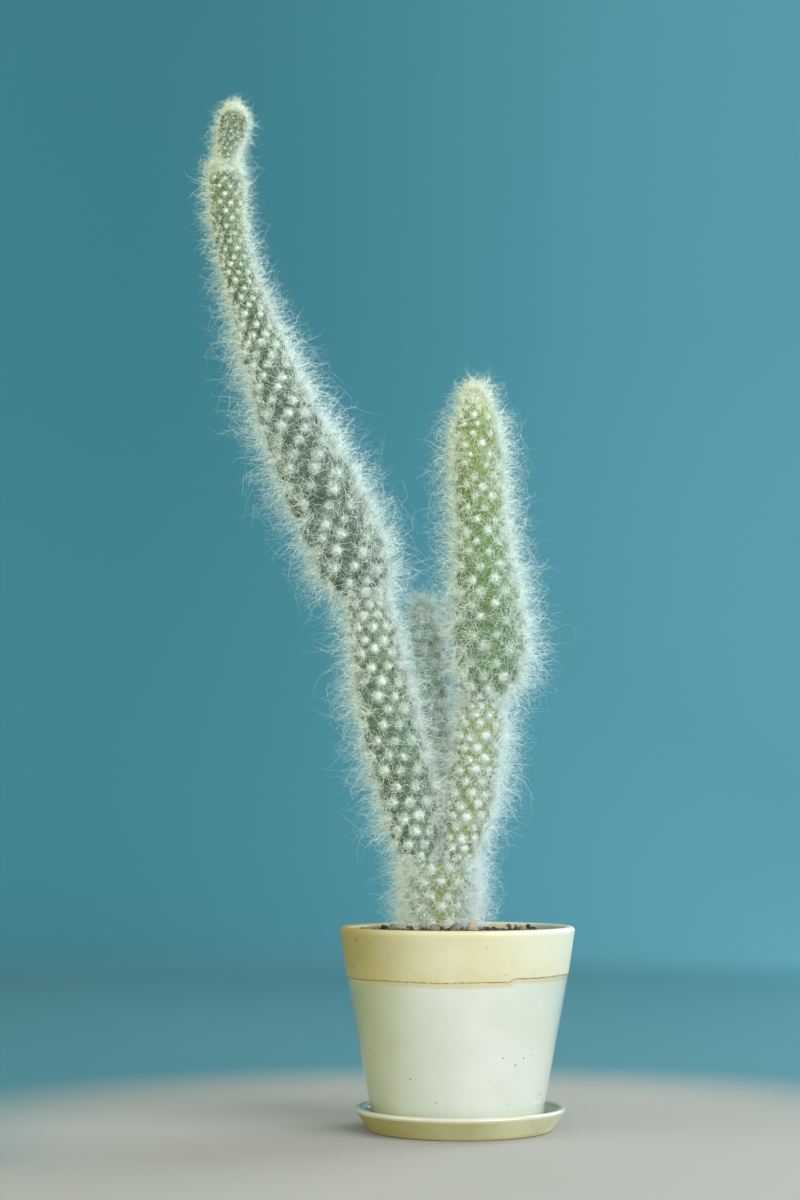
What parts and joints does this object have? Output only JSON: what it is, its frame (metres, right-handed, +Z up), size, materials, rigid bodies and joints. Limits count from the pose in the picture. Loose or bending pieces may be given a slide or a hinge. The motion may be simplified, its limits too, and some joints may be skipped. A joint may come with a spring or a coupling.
{
  "type": "potted grizzly bear cactus",
  "caption": "Grizzly bear cactus: jointed upright pads with woolly areoles and hair-like spines, in a tapered glazed pot on a saucer.",
  "frame": {"origin": "on the pot's axis, in the plane of the saucer's underside", "axes": "+Z up, out of the pot; the plant's two arms spread along X, and -Y is the side that the picture shows"},
  "size_m": [0.1862, 0.11, 0.492],
  "materials": {
    "saucer_glaze": "gloss",
    "pot_glaze": "gloss",
    "soil": "matte",
    "cactus_skin": "matte",
    "cactus_wool": "matte"
  },
  "bodies": {
    "root": {"saucer": "saucer_glaze", "pot": "pot_glaze", "soil": "soil", "pad_base": "cactus_skin", "pad_left_lower": "cactus_skin", "pad_left_upper": "cactus_skin", "pad_left_tip": "cactus_skin", "pad_middle": "cactus_skin", "pad_right_lower": "cactus_skin", "pad_right_upper": "cactus_skin"}
  },
  "joints": []
}
